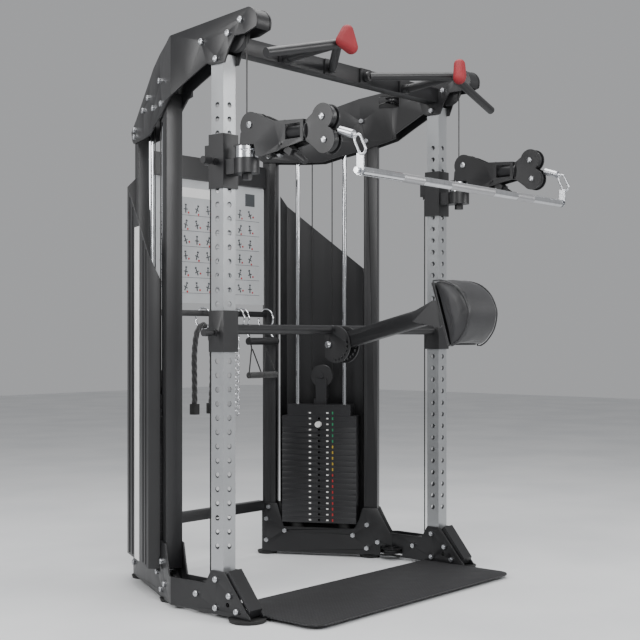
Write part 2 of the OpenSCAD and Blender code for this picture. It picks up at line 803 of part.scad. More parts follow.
uprights();
front_posts();
rear_posts();
base_plates();
top_gussets();
end_covers();
crossbar();
pull_up_bars();
climbing_holds();
rear_beams();
chart_board();
accessory_rail();
foot_plate();
feet();
guide_rods();
stack_bumpers();
shrouds();
frame_bolts();
weight_plates();
guide_pulleys();
accessory_bar();
strap_handles();
rail_hooks();
triceps_rope();
rope_stoppers();
frame_cables();
arm_cable(true);  // arm_cable_left
arm_cable(false);  // arm_cable_right
lift_stack(true);  // lift_stack_left
lift_stack(false);  // lift_stack_right
selector_pin(true);  // selector_pin_left
selector_pin(false);  // selector_pin_right
floating_pulley(true);  // floating_pulley_left
floating_pulley(false);  // floating_pulley_right
top_pulley(true);  // top_pulley_left
top_pulley(false);  // top_pulley_right
trolley(true);  // trolley_left
trolley(false);  // trolley_right
trolley_pin(true);  // trolley_pin_left
trolley_pin(false);  // trolley_pin_right
arm(true);  // arm_left
arm(false);  // arm_right
arm_pin(true);  // arm_pin_left
arm_pin(false);  // arm_pin_right
arm_pulley_wheel(true);  // arm_pulley_left
arm_pulley_wheel(false);  // arm_pulley_right
swivel_head(true);  // swivel_head_left
swivel_head(false);  // swivel_head_right
head_pin(true);  // head_pin_left
head_pin(false);  // head_pin_right
head_pulley(upper_head, true);  // head_pulley_upper_left
head_pulley(upper_head, false);  // head_pulley_upper_right
head_pulley(lower_head, true);  // head_pulley_lower_left
head_pulley(lower_head, false);  // head_pulley_lower_right
straight_bar();
bar_clips();
leg_carriage();
leg_pin();
leg_arm();
leg_pad();
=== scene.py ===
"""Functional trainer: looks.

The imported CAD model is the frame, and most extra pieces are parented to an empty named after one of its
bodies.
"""
import math
import bmesh
import bpy
from mathutils import Matrix, Vector


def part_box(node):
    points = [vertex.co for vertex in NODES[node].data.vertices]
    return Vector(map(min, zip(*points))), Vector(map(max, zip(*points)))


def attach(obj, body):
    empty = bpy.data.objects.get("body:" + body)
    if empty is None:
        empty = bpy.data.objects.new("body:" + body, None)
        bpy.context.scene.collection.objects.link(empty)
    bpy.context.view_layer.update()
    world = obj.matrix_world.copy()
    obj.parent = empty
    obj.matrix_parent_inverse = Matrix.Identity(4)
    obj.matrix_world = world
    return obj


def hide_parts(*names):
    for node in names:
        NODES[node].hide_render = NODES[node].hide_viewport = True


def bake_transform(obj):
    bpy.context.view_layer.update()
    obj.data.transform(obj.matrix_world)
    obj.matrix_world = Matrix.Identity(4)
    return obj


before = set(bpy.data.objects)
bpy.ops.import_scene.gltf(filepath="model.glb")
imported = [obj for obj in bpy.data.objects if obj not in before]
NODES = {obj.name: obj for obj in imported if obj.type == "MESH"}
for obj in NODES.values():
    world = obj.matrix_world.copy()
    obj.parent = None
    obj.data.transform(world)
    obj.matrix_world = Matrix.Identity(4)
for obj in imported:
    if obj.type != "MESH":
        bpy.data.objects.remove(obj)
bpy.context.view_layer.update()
SIDES = {"left": -1, "right": 1}

# ---- driving sizes, in metres ----
UPRIGHT_X = 0.650
BEND_Y = 0.225
BEND = math.radians(28)
SWIVEL_Y = -0.115
ROLL_Z = 1.6665
COLLAR_Z = (1.6045, 1.6445)
COLLAR_BACK = 0.0405
CABLE_R = 0.0025
STACK_S = 0.340
STACK_Z = 0.150
PLATE_PITCH = 0.0253
PLATES = 19
LIFTED = 2
PLATE_HALF = 0.045
PROUD = 0.0006  # how far a printed mark stands out
SUNK = 0.001    # how far it goes in
SHARP = math.radians(28)
FLOOR_HALF = 14


# ---- camera, light and floor ----

def make_camera():
    data = bpy.data.cameras.new("camera")
    data.lens = 68.3
    data.sensor_width = 36
    data.shift_y = 0.0247
    cam = bpy.data.objects.new("camera", data)
    bpy.context.collection.objects.link(cam)
    cam.location = (-3.6755, -3.0517, 0.989)
    cam.rotation_euler = (math.radians(90), 0, math.radians(-49.3))
    bpy.context.scene.camera = cam


def area_light(name, place, target, size, power):
    data = bpy.data.lights.new(name, "AREA")
    data.shape = "RECTANGLE"
    data.size, data.size_y = size
    data.energy = power
    light = bpy.data.objects.new(name, data)
    bpy.context.collection.objects.link(light)
    light.location = place
    light.rotation_euler = (Vector(target) - Vector(place)).to_track_quat("-Z", "Y").to_euler()


def make_studio():
    world = bpy.data.worlds.new("studio")
    world.use_nodes = True
    back = world.node_tree.nodes["Background"]
    back.inputs["Color"].default_value = (0.93, 0.94, 0.96, 1)
    back.inputs["Strength"].default_value = 0.42
    bpy.context.scene.world = world
    area_light("key", (-3.2, -3.6, 3.6), (0, 0, 1.0), (2.4, 2.4), 170)
    area_light("side", (-4.2, 1.4, 2.6), (-0.3, 0.2, 1.1), (1.6, 2.6), 110)
    area_light("front", (1.8, -4.4, 2.6), (0, -0.2, 1.2), (2.4, 1.8), 110)
    area_light("top", (0.0, 0.2, 4.4), (0, 0.2, 0), (3.2, 3.2), 150)
    mesh = bpy.data.meshes.new("floor")
    r = FLOOR_HALF
    mesh.from_pydata([(-r, -r, 0), (r, -r, 0), (r, r, 0), (-r, r, 0)], [], [(0, 1, 2, 3)])
    floor = bpy.data.objects.new("floor", mesh)
    bpy.context.collection.objects.link(floor)
    floor.data.materials.append(floor_material())


# ---- materials ----

def new_material(name):
    mat = bpy.data.materials.new(name)
    mat.use_nodes = True
    return mat, mat.node_tree.nodes, mat.node_tree.links, mat.node_tree.nodes["Principled BSDF"]


def coords(nodes, links, scale, stretch=(1, 1, 1)):
    tex = nodes.new("ShaderNodeTexCoord")
    place = nodes.new("ShaderNodeMapping")
    place.inputs["Scale"].default_value = tuple(scale * s for s in stretch)
    links.new(tex.outputs["Object"], place.inputs["Vector"])
    return place.outputs["Vector"]


def noise(nodes, links, scale, detail=4, stretch=(1, 1, 1)):
    n = nodes.new("ShaderNodeTexNoise")
    n.inputs["Scale"].default_value = 1
    n.inputs["Detail"].default_value = detail
    links.new(coords(nodes, links, scale, stretch), n.inputs["Vector"])
    return n.outputs["Fac"]


def ramp(nodes, links, source, low, high, start=0.35, end=0.65):
    r = nodes.new("ShaderNodeValToRGB")
    r.color_ramp.elements[0].position = start
    r.color_ramp.elements[1].position = end
    r.color_ramp.elements[0].color = (*low, 1)
    r.color_ramp.elements[1].color = (*high, 1)
    links.new(source, r.inputs["Fac"])
    return r.outputs["Color"]


def spread(nodes, links, source, low, high):
    m = nodes.new("ShaderNodeMapRange")
    m.inputs["To Min"].default_value = low
    m.inputs["To Max"].default_value = high
    links.new(source, m.inputs["Value"])
    return m.outputs["Result"]


def bump(nodes, links, source, bsdf, strength, distance):
    b = nodes.new("ShaderNodeBump")
    b.inputs["Strength"].default_value = strength
    b.inputs["Distance"].default_value = distance
    links.new(source, b.inputs["Height"])
    links.new(b.outputs["Normal"], bsdf.inputs["Normal"])


def shade(c, k):
    return tuple(min(1, v * k) for v in c)


def powder_coat(name, colour, rough=(0.34, 0.5), metal=0.0, vary=0.25, grain=0.25):
    """Paint over steel: cloudy tone, handling marks in the gloss and a fine orange-peel grain."""
    mat, nodes, links, bsdf = new_material(name)
    cloud = noise(nodes, links, 3.2, 6)
    tone = ramp(nodes, links, cloud, shade(colour, 1 - vary), shade(colour, 1 + vary))
    links.new(tone, bsdf.inputs["Base Color"])
    marks = noise(nodes, links, 22, 8, (1, 1, 0.3))
    links.new(spread(nodes, links, marks, rough[0], rough[1]), bsdf.inputs["Roughness"])
    bsdf.inputs["Metallic"].default_value = metal
    bsdf.inputs["Coat Weight"].default_value = 0.12
    bsdf.inputs["Coat Roughness"].default_value = 0.3
    bump(nodes, links, noise(nodes, links, 900, 2), bsdf, grain, 0.0003)
    return mat


def metal(name, colour, rough, stretch=(1, 1, 1), scratch=0.15, scale=60):
    """Bare or plated metal with drawn lines along one direction."""
    mat, nodes, links, bsdf = new_material(name)
    lines = noise(nodes, links, scale, 6, stretch)
    links.new(ramp(nodes, links, lines, shade(colour, 0.86), colour), bsdf.inputs["Base Color"])
    links.new(spread(nodes, links, lines, rough * 0.7, rough * 1.4), bsdf.inputs["Roughness"])
    bsdf.inputs["Metallic"].default_value = 1
    bump(nodes, links, lines, bsdf, scratch, 0.0002)
    return mat


def moulded(name, colour, rough, scale=500, strength=0.2, vary=0.2):
    """Moulded plastic or rubber with a spark-eroded grain."""
    mat, nodes, links, bsdf = new_material(name)
    cloud = noise(nodes, links, 12, 5)
    tone = ramp(nodes, links, cloud, shade(colour, 1 - vary), shade(colour, 1 + vary))
    links.new(tone, bsdf.inputs["Base Color"])
    gloss = spread(nodes, links, noise(nodes, links, 40, 5), rough - 0.08, rough + 0.1)
    links.new(gloss, bsdf.inputs["Roughness"])
    bump(nodes, links, noise(nodes, links, scale, 3), bsdf, strength, 0.0004)
    return mat


def upholstery(name, colour):
    """Pebbled vinyl."""
    mat, nodes, links, bsdf = new_material(name)
    cells = nodes.new("ShaderNodeTexVoronoi")
    cells.feature = "DISTANCE_TO_EDGE"
    cells.inputs["Scale"].default_value = 1
    links.new(coords(nodes, links, 420), cells.inputs["Vector"])
    tone = ramp(nodes, links, noise(nodes, links, 8, 5), shade(colour, 0.8), shade(colour, 1.3))
    links.new(tone, bsdf.inputs["Base Color"])
    links.new(spread(nodes, links, noise(nodes, links, 30, 4), 0.36, 0.52), bsdf.inputs["Roughness"])
    bump(nodes, links, cells.outputs["Distance"], bsdf, 0.5, 0.0006)
    bsdf.inputs["Sheen Weight"].default_value = 0.1
    return mat


def woven(name, colour):
    """Tightly woven nylon: crossing ridges with a soft sheen."""
    mat, nodes, links, bsdf = new_material(name)
    wave = nodes.new("ShaderNodeTexWave")
    wave.bands_direction = "DIAGONAL"
    wave.inputs["Scale"].default_value = 1
    wave.inputs["Distortion"].default_value = 1.5
    links.new(coords(nodes, links, 300), wave.inputs["Vector"])
    tone = ramp(nodes, links, wave.outputs["Fac"], shade(colour, 0.6), shade(colour, 1.5), 0.2, 0.8)
    links.new(tone, bsdf.inputs["Base Color"])
    bsdf.inputs["Roughness"].default_value = 0.8
    bsdf.inputs["Sheen Weight"].default_value = 0.3
    bump(nodes, links, wave.outputs["Fac"], bsdf, 0.7, 0.0008)
    return mat


def tread(name, colour):
    """Studded mat: a regular field of small round studs."""
    mat, nodes, links, bsdf = new_material(name)
    cells = nodes.new("ShaderNodeTexVoronoi")
    cells.inputs["Scale"].default_value = 1
    cells.inputs["Randomness"].default_value = 0
    links.new(coords(nodes, links, 62), cells.inputs["Vector"])
    studs = ramp(nodes, links, cells.outputs["Distance"], (1, 1, 1), (0, 0, 0), 0.2, 0.34)
    mix = nodes.new("ShaderNodeMix")
    mix.data_type = "RGBA"
    sockets = {s.identifier: s for s in mix.inputs}
    sockets["A_Color"].default_value = (*colour, 1)
    sockets["B_Color"].default_value = (*shade(colour, 3.2), 1)
    links.new(studs, sockets["Factor_Float"])
    links.new(next(o for o in mix.outputs if o.identifier == "Result_Color"), bsdf.inputs["Base Color"])
    links.new(spread(nodes, links, noise(nodes, links, 18, 6), 0.5, 0.75), bsdf.inputs["Roughness"])
    bump(nodes, links, studs, bsdf, 0.6, 0.001)
    return mat


def floor_material():
    mat, nodes, links, bsdf = new_material("floor")
    tone = noise(nodes, links, 1.4, 6)
    links.new(ramp(nodes, links, tone, (0.7, 0.71, 0.72), (0.78, 0.785, 0.79)), bsdf.inputs["Base Color"])
    bsdf.inputs["Roughness"].default_value = 0.55
    return mat


def trolley_paint(name, colour):
    """Black coat with the bare machined index ring showing where the collar sits."""
    mat = powder_coat(name, colour)
    nodes, links = mat.node_tree.nodes, mat.node_tree.links
    paint = nodes["Principled BSDF"]
    ring = nodes.new("ShaderNodeBsdfPrincipled")
    ring.inputs["Metallic"].default_value = 1
    ring.inputs["Base Color"].default_value = (0.7, 0.71, 0.73, 1)
    gloss = spread(nodes, links, noise(nodes, links, 90, 4, (1, 1, 8)), 0.16, 0.3)
    links.new(gloss, ring.inputs["Roughness"])
    place = nodes.new("ShaderNodeTexCoord")
    split = nodes.new("ShaderNodeSeparateXYZ")
    links.new(place.outputs["Object"], split.inputs["Vector"])

    def test(axis, kind, limit):
        n = nodes.new("ShaderNodeMath")
        n.operation = kind
        n.inputs[1].default_value = limit
        links.new(split.outputs[axis], n.inputs[0])
        return n.outputs[0]

    def both(a, b):
        n = nodes.new("ShaderNodeMath")
        n.operation = "MULTIPLY"
        links.new(a, n.inputs[0])
        links.new(b, n.inputs[1])
        return n.outputs[0]

    high = both(test("Z", "GREATER_THAN", COLLAR_Z[0]), test("Z", "LESS_THAN", COLLAR_Z[1]))
    mask = both(high, test("Y", "LESS_THAN", SWIVEL_Y + COLLAR_BACK))
    mix = nodes.new("ShaderNodeMixShader")
    links.new(mask, mix.inputs["Fac"])
    links.new(paint.outputs["BSDF"], mix.inputs[1])
    links.new(ring.outputs["BSDF"], mix.inputs[2])
    links.new(mix.outputs["Shader"], nodes["Material Output"].inputs["Surface"])
    return mat


BLACK = (0.009, 0.009, 0.010)
M = {
    "black": powder_coat("black_coat", BLACK),
    "shroud": powder_coat("shroud_coat", (0.011, 0.011, 0.012), (0.38, 0.55)),
    "silver": powder_coat("silver_coat", (0.4, 0.41, 0.42), (0.26, 0.4), 0.75, 0.06, 0.12),
    "iron": powder_coat("plate_coat", (0.022, 0.022, 0.024), (0.3, 0.48), 0.1, 0.3, 0.35),
    "chrome": metal("chrome", (0.78, 0.79, 0.81), 0.1, (1, 1, 0.05), 0.05),
    "zinc": metal("zinc", (0.6, 0.61, 0.63), 0.28, (1, 1, 1), 0.2, 140),
    "rubber": moulded("rubber", (0.012, 0.012, 0.012), 0.72, 350, 0.4),
    "nylon": moulded("nylon", (0.02, 0.02, 0.021), 0.36, 700, 0.1),
    "grip": moulded("grip", (0.012, 0.012, 0.013), 0.5, 260, 0.35),
    "red": moulded("red_resin", (0.24, 0.01, 0.016), 0.62, 240, 0.6, 0.15),
    "white": moulded("white_plastic", (0.78, 0.78, 0.76), 0.3, 400, 0.05, 0.05),
    "stripe": moulded("white_vinyl", (0.74, 0.74, 0.73), 0.4, 500, 0.05, 0.04),
    "green": moulded("green_mark", (0.02, 0.26, 0.11), 0.45, 500, 0.05, 0.1),
    "yellow": moulded("yellow_mark", (0.5, 0.34, 0.03), 0.45, 500, 0.05, 0.1),
    "red_mark": moulded("red_mark", (0.4, 0.02, 0.02), 0.45, 500, 0.05, 0.1),
    "chart": moulded("chart_panel", (0.42, 0.43, 0.44), 0.42, 400, 0.04, 0.04),
    "chart_dark": moulded("chart_ink", (0.05, 0.055, 0.06), 0.5, 400, 0.04, 0.1),
    "tread": tread("tread", (0.012, 0.012, 0.013)),
    "webbing": woven("webbing", (0.012, 0.012, 0.012)),
    "rope": woven("rope_yarn", (0.016, 0.016, 0.017)),
    "cable": moulded("cable_jacket", (0.01, 0.01, 0.01), 0.34, 300, 0.05),
    "vinyl": upholstery("pad_vinyl", (0.013, 0.013, 0.0145)),
    "trolley": trolley_paint("trolley_coat", BLACK),
    "knurl": metal("knurl", (0.5, 0.5, 0.51), 0.42, (1, 1, 1), 0.9, 800),
}


# ---- mesh helpers ----

def link(name, mesh, material, body, smooth=math.radians(35), slot=None):
    obj = bpy.data.objects.new(name, mesh)
    bpy.context.collection.objects.link(obj)
    mesh.materials.clear()
    mesh.materials.append(M[material])
    for p in mesh.polygons:
        p.use_smooth = True
    mesh.set_sharp_from_angle(angle=smooth)
    if body:
        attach(obj, body)
    return obj


def from_bmesh(bm, name, material, body, **more):
    mesh = bpy.data.meshes.new(name)
    bm.to_mesh(mesh)
    bm.free()
    return link(name, mesh, material, body, **more)


def rear_point(off, s, z, side=1):
    """A point of the tower behind its bend: off outward, s along it, both from the bend."""
    x = UPRIGHT_X + off * math.cos(BEND) - s * math.sin(BEND)
    return Vector((side * x, BEND_Y + off * math.sin(BEND) + s * math.cos(BEND), z))


def rear_matrix(side):
    turn = Matrix.Translation((UPRIGHT_X, BEND_Y, 0)) @ Matrix.Rotation(BEND, 4, "Z")
    return (Matrix.Scale(-1, 4, (1, 0, 0)) if side < 0 else Matrix.Identity(4)) @ turn


def add_box(bm, low, high, matrix=None, round_by=0.0):
    made = bmesh.ops.create_cube(bm, size=1)["verts"]
    size = Vector(high) - Vector(low)
    middle = (Vector(high) + Vector(low)) / 2
    for v in made:
        v.co = Vector((v.co.x * size.x, v.co.y * size.y, v.co.z * size.z)) + middle
    if round_by:
        edges = list({e for v in made for e in v.link_edges})
        rounded = bmesh.ops.bevel(bm, geom=edges, offset=round_by, segments=2, affect="EDGES")
        made = list({v for f in rounded["faces"] for v in f.verts} | {v for v in made if v.is_valid})
    if matrix is not None:
        bmesh.ops.transform(bm, matrix=matrix, verts=made)
        if matrix.determinant() < 0:
            bmesh.ops.reverse_faces(bm, faces=list({f for v in made for f in v.link_faces}))


def arc(at, r, start, end, n):
    """Points round at, from start to end degrees, in n steps."""
    return [(at[0] + r * math.cos(math.radians(start + (end - start) * i / n)),
             at[1] + r * math.sin(math.radians(start + (end - start) * i / n))) for i in range(n + 1)]


def tube(name, points, radius, material, body, sides=12, lobes=0, twist=0.0, depth=0.0, slot=None):
    """A closed tube along points.

    With lobes it is a laid rope, whose strands turn by twist radians per metre.
    """
    pts = [Vector(p) for p in points]
    bm = bmesh.new()
    normal, run, rings = None, 0.0, []
    for i, p in enumerate(pts):
        ahead = pts[min(i + 1, len(pts) - 1)] - pts[max(i - 1, 0)]
        t = ahead.normalized()
        if normal is None:
            normal = t.orthogonal().normalized()
        normal = (normal - t * normal.dot(t)).normalized()
        side = t.cross(normal)
        if i:
            run += (p - pts[i - 1]).length
        ring = []
        for k in range(sides):
            a = 2 * math.pi * k / sides
            r = radius
            if lobes:
                r = radius * (1 - depth * (1 - abs(math.cos(lobes * (a + twist * run) / 2))))
            ring.append(bm.verts.new(p + (normal * math.cos(a) + side * math.sin(a)) * r))
        rings.append(ring)
    for a, b in zip(rings, rings[1:]):
        for k in range(sides):
            m = (k + 1) % sides
            bm.faces.new((a[k], a[m], b[m], b[k]))
    bm.faces.new(list(reversed(rings[0])))
    bm.faces.new(rings[-1])
    bmesh.ops.recalc_face_normals(bm, faces=bm.faces)
    return from_bmesh(bm, name, material, body, smooth=math.radians(60), slot=slot)


def smooth_path(points, step):
    """A Catmull-Rom curve through points, cut about every step metres."""
    pts = [Vector(p) for p in points]
    pts = [pts[0] * 2 - pts[1]] + pts + [pts[-1] * 2 - pts[-2]]
    out = []
    for a, b, c, d in zip(pts, pts[1:], pts[2:], pts[3:]):
        n = max(1, round((c - b).length / step))
        for i in range(n):
            t = i / n
            out.append(0.5 * (2 * b + (c - a) * t + (2 * a - 5 * b + 4 * c - d) * t * t
                              + (3 * b - a - 3 * c + d) * t ** 3))
    return out + [pts[-2]]


def straight_run(a, b, n=24):
    a, b = Vector(a), Vector(b)
    return [a + (b - a) * i / n for i in range(n + 1)]


# ---- cords first: the triceps rope ----

ROPE_R = 0.0125
ROPE_TWIST = 62.0
ROPE_GROOVE = 0.26
ROPE = [  # in millimetres
    (-14, 716, 700), (-10, 716, 760), (-7, 716, 820), (-6, 717, 880), (-8, 718, 940), (-16, 720, 990),
    (-32, 721, 1022), (-56, 722, 1036), (-80, 721, 1024), (-98, 720, 992), (-108, 718, 945),
    (-113, 717, 890), (-113, 716, 830), (-112, 716, 765), (-112, 716, 700),
]


def make_rope():
    route = [(x / 1000, y / 1000, z / 1000) for x, y, z in ROPE]
    path = smooth_path(route, 0.003)
    rope = tube("triceps_rope_laid", path, ROPE_R, "rope", "frame", 36, 3, ROPE_TWIST, ROPE_GROOVE, slot="rope")
    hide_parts("triceps_rope")


# ---- cables ----

# pulleys that the cable turns on: centre and cable radius, in the plane of the upright or of the tower
TOP_WHEEL = (-0.060, 2.040), 0.055
ARM_WHEEL = (-0.155, 1.712), 0.040
TOWER_FRONT = (0.148, 1.945), 0.040
TOWER_MIDDLE = (0.249, 1.860), 0.040
TOWER_REAR = (0.335, 1.915), 0.046
FLOATER = (0.335, 0.808), 0.046
BASE_REAR = (0.074, 0.073), 0.034
BASE_FRONT = (0.099, 0.073), 0.034
BASE_RUN_Z = 0.039


def cable(name, points, body):
    return tube(name, points, CABLE_R, "cable", body, slot="cable")


def make_cables():
    made = []
    for name, side in SIDES.items():
        def flat(p, side=side):
            return (side * UPRIGHT_X, p[0], p[1])

        def bay(p, side=side):
            return tuple(rear_point(0, p[0], p[1], side))

        over = [flat(p) for p in arc(*TOP_WHEEL, 180, 78, 14)]
        over += [flat((0.140, 2.052)), flat((0.180, 2.036)), flat((0.217, 2.034))]
        over += [bay((0.008, 2.033)), bay((0.040, 2.031)), bay((0.120, 2.008))]
        over += [bay(p) for p in arc(*TOWER_REAR, 77, 0, 10)]
        back = [bay(p) for p in arc(*TOWER_MIDDLE, 0, 50, 6)]
        back += [bay(p) for p in arc(*TOWER_FRONT, 50, 180, 14)]
        back += [bay(p) for p in arc(*BASE_REAR, 0, -90, 10)]
        back += [bay((0.012, BASE_RUN_Z)), (side * (UPRIGHT_X - 0.0012), BEND_Y, BASE_RUN_Z),
                 flat((0.213, BASE_RUN_Z))]
        back += [flat(p) for p in arc(*BASE_FRONT, -90, -180, 10)]
        made.append(cable(f"cable_over_{name}", over, "frame"))
        made.append(cable(f"cable_back_{name}", back, "frame"))
        front, low_front = flat((SWIVEL_Y, 2.040)), flat((SWIVEL_Y, 1.714))
        drop = cable(f"cable_drop_{name}", straight_run(front, low_front), None)
        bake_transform(drop)
        foot, anchor = flat((0.065, 0.073)), flat((0.065, 1.582))
        rise = cable(f"cable_rise_{name}", straight_run(foot, anchor), None)
        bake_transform(rise)
        made += [drop, rise]
        for tag, s, top in (("a", 0.381, 1.915), ("b", 0.289, 1.860)):
            high, low = bay((s, top)), bay((s, 0.808))
            run = cable(f"cable_stack_{tag}_{name}", straight_run(high, low), None)
            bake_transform(run)
            made.append(run)
        under = [bay(p) for p in arc(*FLOATER, 0, -180, 20)]
        made.append(cable(f"cable_under_{name}", under, f"lift_{name}"))
        arm = [flat(p) for p in arc(*ARM_WHEEL, 0, -90, 12)]
        arm += [flat(p) for p in ((-0.250, 1.670), (-0.350, 1.6675), (-0.440, ROLL_Z), (-0.490, ROLL_Z))]
        inner = cable(f"cable_arm_{name}", arm, f"arm_{name}")
        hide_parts(f"arm_cable_{name}")
        leave, stop = flat((-0.490, ROLL_Z)), flat((-0.536, 1.655))
        if side < 0:
            pull = cable(f"cable_pull_{name}", straight_run(leave, stop), None)
            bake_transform(pull)
        else:
            pull = cable(f"cable_pull_{name}", straight_run(leave, stop), "arm_right")
        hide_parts(f"arm_cable_{name}")
    for piece in made:
        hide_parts("frame_cables")


# ---- pad ----

PAD_HALF = 0.1
PAD_CAP = 0.007
PAD_INSIDE = Vector((-0.62, 1.07))
PIPING_R = 0.0028
PAD_PROFILE = [  # y and z in millimetres, from one end of the flat back to the other
    (-503, 1192), (-540, 1194), (-590, 1180), (-635, 1145), (-662, 1095), (-665, 1055), (-650, 1005),
    (-618, 965), (-590, 948), (-576, 947),
]


def pad_outline(inset):
    """The D-shaped outline of the pad in y and z, moved inward by inset."""
    pts = [Vector((y / 1000, z / 1000)) for y, z in PAD_PROFILE]
    middle = sum(pts, Vector((0, 0))) / len(pts)
    rounded = smooth_path([(p.x, p.y, 0) for p in pts], 0.012)
    out = []
    for p in rounded:
        v = Vector((p.x, p.y)) - middle
        out.append(middle + v * (1 - inset / v.length))
    return out


def chord_distance(at_y, at_z):
    """How far a point is in front of the pad's flat back."""
    a, b = (Vector((y / 1000, z / 1000)) for y, z in (PAD_PROFILE[0], PAD_PROFILE[-1]))
    n = Vector((-(b - a).y, (b - a).x)).normalized()
    d = (Vector((at_y, at_z)) - a).dot(n)
    return d if (PAD_INSIDE - a).dot(n) > 0 else -d


def make_pad():
    """The leg pad: a cover filled out by cloth pressure, piping round both ends, and its steel bracket."""
    outline = pad_outline(0.007)
    bm = bmesh.new()
    rings = [[bm.verts.new((x, p.x, p.y)) for p in outline] for x in (-PAD_HALF + 0.005, PAD_HALF - 0.005)]
    n = len(outline)
    for i in range(n):
        j = (i + 1) % n
        bm.faces.new((rings[0][i], rings[0][j], rings[1][j], rings[1][i]))
    bm.faces.new(list(reversed(rings[0])))
    bm.faces.new(rings[1])
    bmesh.ops.recalc_face_normals(bm, faces=bm.faces)
    rims = [e for e in bm.edges
            if e.calc_face_angle(0) > 1.0 and abs(e.verts[0].co.x - e.verts[1].co.x) < 1e-6]
    bmesh.ops.bevel(bm, geom=rims, offset=0.008, segments=3, affect="EDGES")
    pad = from_bmesh(bm, "pad_cover", "vinyl", "leg_pad", slot="pad")
    remesh = pad.modifiers.new("remesh", "REMESH")
    remesh.mode = "VOXEL"
    remesh.voxel_size = 0.006
    settle(pad)
    start = [v.co.copy() for v in pad.data.vertices]
    cloth = pad.modifiers.new("cloth", "CLOTH")
    cloth.settings.use_pressure = True
    cloth.settings.uniform_pressure_force = 4
    cloth.settings.effector_weights.gravity = 0
    scene = bpy.context.scene
    for f in range(1, 21):
        scene.frame_set(f)
        bpy.context.evaluated_depsgraph_get()
    settle(pad)
    scene.frame_set(1)
    for v, rest in zip(pad.data.vertices, start):
        move = v.co - rest
        if move.length > PAD_CAP:
            v.co = rest + move * (PAD_CAP / move.length)
        short = 0.0005 - chord_distance(v.co.y, v.co.z)
        if short > 0:
            v.co.y -= short
    sub = pad.modifiers.new("subdivide", "SUBSURF")
    sub.levels = sub.render_levels = 1
    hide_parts("leg_pad")
    for name, side in SIDES.items():
        rim = [(side * (PAD_HALF - 0.008), p.x, p.y) for p in pad_outline(0.006)]
        rim.append(rim[0])
        piping = tube(f"pad_piping_{name}", rim, PIPING_R, "vinyl", "leg_pad", 8, slot="pad")
        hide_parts("leg_pad")
    for i, piece in enumerate(islands("leg_pad")):
        if len(piece.vertices) and min(v.co.y for v in piece.vertices) > -0.6:
            steel = link(f"pad_bracket_{i}", piece, "black", "leg_pad", slot="black_paint")
            bevel(steel)
            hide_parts("leg_pad")


def settle(obj):
    """Replaces an object's mesh by what its modifiers make of it."""
    graph = bpy.context.evaluated_depsgraph_get()
    mesh = bpy.data.meshes.new_from_object(obj.evaluated_get(graph))
    obj.modifiers.clear()
    obj.data = mesh
    for p in mesh.polygons:
        p.use_smooth = True


def islands(node):
    """Meshes of the separate solids in a CAD node."""
    whole = bmesh.new()
    whole.from_mesh(NODES[node].data)
    bmesh.ops.remove_doubles(whole, verts=whole.verts, dist=1e-7)
    whole.verts.ensure_lookup_table()
    seen, groups = set(), []
    for v in whole.verts:
        if v.index in seen:
            continue
        stack, group = [v], []
        seen.add(v.index)
        while stack:
            w = stack.pop()
            group.append(w.index)
            for e in w.link_edges:
                o = e.other_vert(w)
                if o.index not in seen:
                    seen.add(o.index)
                    stack.append(o)
        groups.append(set(group))
    out = []
    for group in groups:
        part = whole.copy()
        part.verts.ensure_lookup_table()
        bmesh.ops.delete(part, geom=[v for v in part.verts if v.index not in group], context="VERTS")
        mesh = bpy.data.meshes.new(f"{node}_solid")
        part.to_mesh(mesh)
        part.free()
        out.append(mesh)
    whole.free()
    return out


def weld(obj):
    join = obj.modifiers.new("join", "WELD")
    join.merge_threshold = 0.000002


def split_sharp(obj):
    split = obj.modifiers.new("sharp", "EDGE_SPLIT")
    split.split_angle = SHARP


def weld_and_split(obj):
    """Joins a CAD node's face-by-face mesh and keeps its real edges sharp."""
    weld(obj)
    split_sharp(obj)


def bevel(obj):
    """The same, with the real edges rounded a little first."""
    weld(obj)
    mod = obj.modifiers.new("edge", "BEVEL")
    mod.width = 0.0009
    mod.segments = 2
    mod.limit_method = "ANGLE"
    mod.angle_limit = math.radians(30)
    split_sharp(obj)


# ---- CAD nodes: finishes ----

FINISH = {
    "uprights": "silver", "front_posts": "black", "rear_posts": "black", "base_plates": "black",
    "top_gussets": "black", "end_covers": "black", "crossbar": "black", "pull_up_bars": "black",
    "climbing_holds": "red", "rear_beams": "black", "chart_board": "chart", "accessory_rail": "black",
    "foot_plate": "tread", "feet": "rubber", "guide_rods": "chrome", "stack_bumpers": "rubber",
    "shrouds": "shroud", "frame_bolts": "zinc", "weight_plates": "iron", "guide_pulleys": "nylon",
    "accessory_bar": "grip", "strap_handles": "webbing", "rail_hooks": "chrome", "rope_stoppers": "rubber",
    "straight_bar": "chrome", "bar_clips": "zinc", "leg_pin": "grip", "leg_arm": "black",
}
SIDE_FINISH = {
    "lift_stack": "iron", "selector_pin": "white", "floating_pulley": "nylon", "top_pulley": "nylon",
    "trolley": "trolley", "trolley_pin": "grip", "arm_pin": "chrome", "arm_pulley": "nylon",
    "head_pin": "grip", "head_pulley_upper": "nylon", "head_pulley_lower": "nylon",
}
SOFT_EDGES = ("front_posts", "rear_posts", "base_plates", "top_gussets", "crossbar", "rear_beams", "foot_plate",
              "weight_plates", "accessory_rail", "shrouds", "leg_arm")
SMALL_SOLID = 0.12


def finish_node(node, material):
    obj = NODES[node]
    obj.data.materials.clear()
    obj.data.materials.append(M[material])
    for p in obj.data.polygons:
        p.use_smooth = True
    if node in SOFT_EDGES:
        bevel(obj)
    else:
        weld_and_split(obj)


